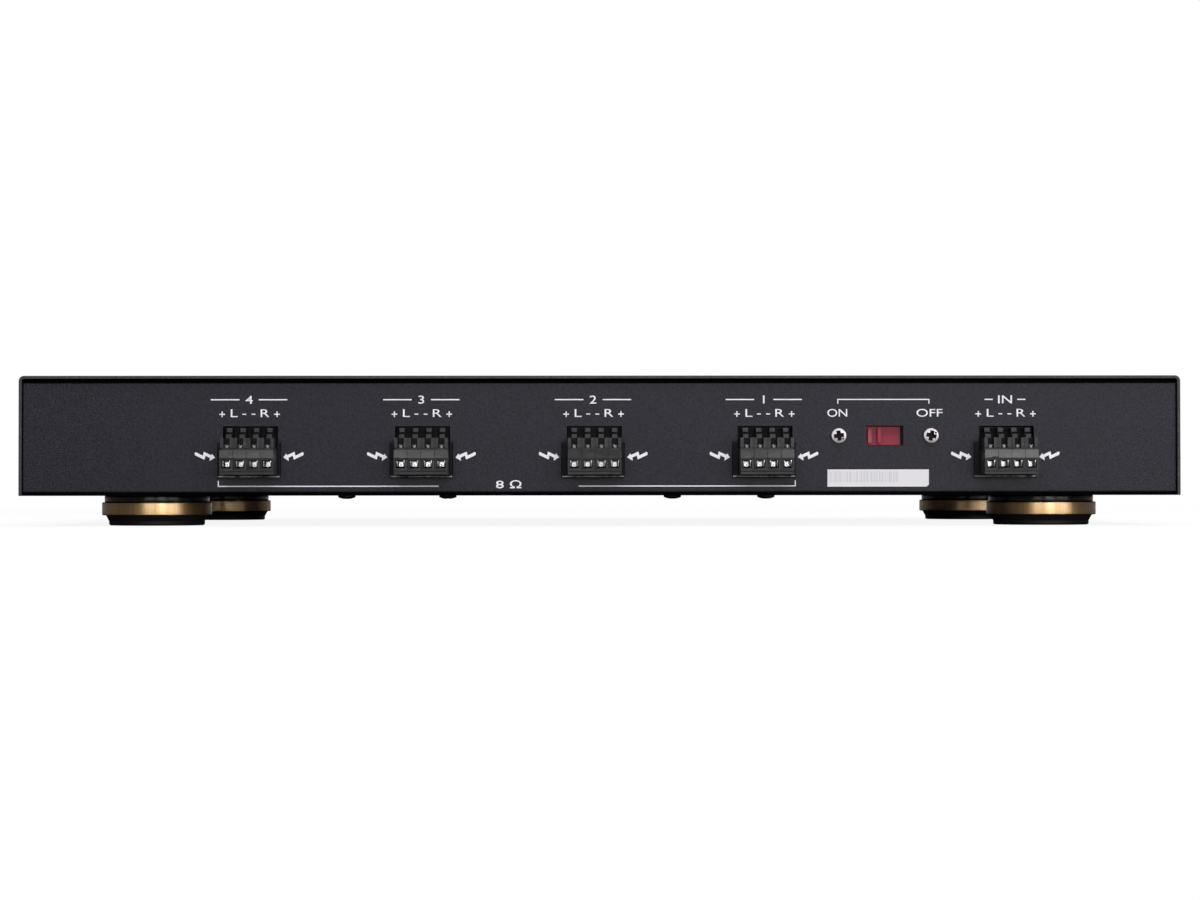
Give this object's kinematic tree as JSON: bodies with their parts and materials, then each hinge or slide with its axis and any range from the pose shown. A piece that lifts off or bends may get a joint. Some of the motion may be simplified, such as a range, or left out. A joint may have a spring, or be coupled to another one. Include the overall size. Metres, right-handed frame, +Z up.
{
  "type": "speaker selector switch",
  "caption": "Low flat case with pluggable terminals and a protection switch on its back and turning volume knobs and zone buttons on its front.",
  "frame": {"origin": "on the surface that the feet stand on, under the middle of the whole object", "axes": "+Z up; the terminal side looks along -Y and the knob side along +Y; +X is to the right when the terminal side is seen"},
  "size_m": [0.4358, 0.3172, 0.056],
  "materials": {
    "case_steel": "fine matt powder coat",
    "front_aluminium": "black anodised, brushed",
    "black_screw": "black oxide",
    "nickel_screw": "nickel plated",
    "zinc": "zinc plated",
    "tin": "tinned",
    "foot_plastic": "gloss",
    "foot_brass": "turned, lacquered",
    "foot_rubber": "satin",
    "circuit_board": "solder mask",
    "terminal_plastic": "moulded, fine grain",
    "clamp_nickel": "nickel plated",
    "slider_red": "satin moulded",
    "black_plastic": "moulded",
    "knob_aluminium": "black anodised",
    "button_plastic": "satin moulded",
    "core_steel": "varnished laminations",
    "winding_copper": "enamelled",
    "ceramic": "cement"
  },
  "bodies": {
    "case": {"chassis_pan": "case_steel", "top_cover": "case_steel", "cover_screws": "black_screw", "front_panel": "front_aluminium", "front_panel_screws": "zinc", "foot_spacers": "foot_plastic", "foot_discs": "foot_brass", "foot_pads": "foot_rubber", "foot_screws": "zinc", "main_board": "circuit_board", "board_standoffs": "zinc", "base_screws": "black_screw", "board_screws": "zinc", "terminal_header_4": "terminal_plastic", "terminal_header_3": "terminal_plastic", "terminal_header_2": "terminal_plastic", "terminal_header_1": "terminal_plastic", "terminal_header_input": "terminal_plastic", "header_pins": "tin", "protection_switch_frame": "black_screw", "protection_switch_base": "black_plastic", "protection_switch_tabs": "tin", "protection_switch_screws": "nickel_screw", "rotary_switches": "black_plastic", "shaft_nuts": "zinc", "push_switches": "black_plastic", "front_board": "circuit_board", "link_pins": "tin", "autoformer_cores": "core_steel", "autoformer_coils": "winding_copper", "power_resistors": "ceramic"},
    "protection_slider": {"protection_slider": "slider_red"},
    "volume_knob_1": {"volume_knob_1": "knob_aluminium", "volume_shaft_1": "zinc"},
    "volume_knob_2": {"volume_knob_2": "knob_aluminium", "volume_shaft_2": "zinc"},
    "volume_knob_3": {"volume_knob_3": "knob_aluminium", "volume_shaft_3": "zinc"},
    "volume_knob_4": {"volume_knob_4": "knob_aluminium", "volume_shaft_4": "zinc"},
    "select_button_1": {"select_button_1": "button_plastic"},
    "select_button_2": {"select_button_2": "button_plastic"},
    "select_button_3": {"select_button_3": "button_plastic"},
    "select_button_4": {"select_button_4": "button_plastic"},
    "terminal_plug_4": {"terminal_plug_4": "terminal_plastic", "wire_clamps_4": "clamp_nickel"},
    "terminal_plug_3": {"terminal_plug_3": "terminal_plastic", "wire_clamps_3": "clamp_nickel"},
    "terminal_plug_2": {"terminal_plug_2": "terminal_plastic", "wire_clamps_2": "clamp_nickel"},
    "terminal_plug_1": {"terminal_plug_1": "terminal_plastic", "wire_clamps_1": "clamp_nickel"},
    "terminal_plug_input": {"terminal_plug_input": "terminal_plastic", "wire_clamps_input": "clamp_nickel"}
  },
  "joints": [
    {"name": "volume_knob_1_turn", "type": "hinge", "parent": "case", "child": "volume_knob_1", "pos_m": [0.15, 0.15, 0.0337], "axis": [0, -1, 0], "range_deg": [-150, 150]},
    {"name": "volume_knob_2_turn", "type": "hinge", "parent": "case", "child": "volume_knob_2", "pos_m": [0.05, 0.15, 0.0337], "axis": [0, -1, 0], "range_deg": [-150, 150]},
    {"name": "volume_knob_3_turn", "type": "hinge", "parent": "case", "child": "volume_knob_3", "pos_m": [-0.05, 0.15, 0.0337], "axis": [0, -1, 0], "range_deg": [-150, 150]},
    {"name": "volume_knob_4_turn", "type": "hinge", "parent": "case", "child": "volume_knob_4", "pos_m": [-0.15, 0.15, 0.0337], "axis": [0, -1, 0], "range_deg": [-150, 150]},
    {"name": "select_button_1_press", "type": "slide", "parent": "case", "child": "select_button_1", "axis": [0, -1, 0], "range_m": [0, 0.003], "stiffness_N_per_m": 500, "springref_m": -0.002},
    {"name": "select_button_2_press", "type": "slide", "parent": "case", "child": "select_button_2", "axis": [0, -1, 0], "range_m": [0, 0.003], "stiffness_N_per_m": 500, "springref_m": -0.002},
    {"name": "select_button_3_press", "type": "slide", "parent": "case", "child": "select_button_3", "axis": [0, -1, 0], "range_m": [0, 0.003], "stiffness_N_per_m": 500, "springref_m": -0.002},
    {"name": "select_button_4_press", "type": "slide", "parent": "case", "child": "select_button_4", "axis": [0, -1, 0], "range_m": [0, 0.003], "stiffness_N_per_m": 500, "springref_m": -0.002},
    {"name": "protection_slider_slide", "type": "slide", "parent": "case", "child": "protection_slider", "axis": [1, 0, 0], "range_m": [0, 0.0068]},
    {"name": "terminal_plug_4_pull", "type": "slide", "parent": "case", "child": "terminal_plug_4", "axis": [0, -1, 0], "range_m": [0, 0.014]},
    {"name": "terminal_plug_3_pull", "type": "slide", "parent": "case", "child": "terminal_plug_3", "axis": [0, -1, 0], "range_m": [0, 0.014]},
    {"name": "terminal_plug_2_pull", "type": "slide", "parent": "case", "child": "terminal_plug_2", "axis": [0, -1, 0], "range_m": [0, 0.014]},
    {"name": "terminal_plug_1_pull", "type": "slide", "parent": "case", "child": "terminal_plug_1", "axis": [0, -1, 0], "range_m": [0, 0.014]},
    {"name": "terminal_plug_input_pull", "type": "slide", "parent": "case", "child": "terminal_plug_input", "axis": [0, -1, 0], "range_m": [0, 0.014]}
  ]
}
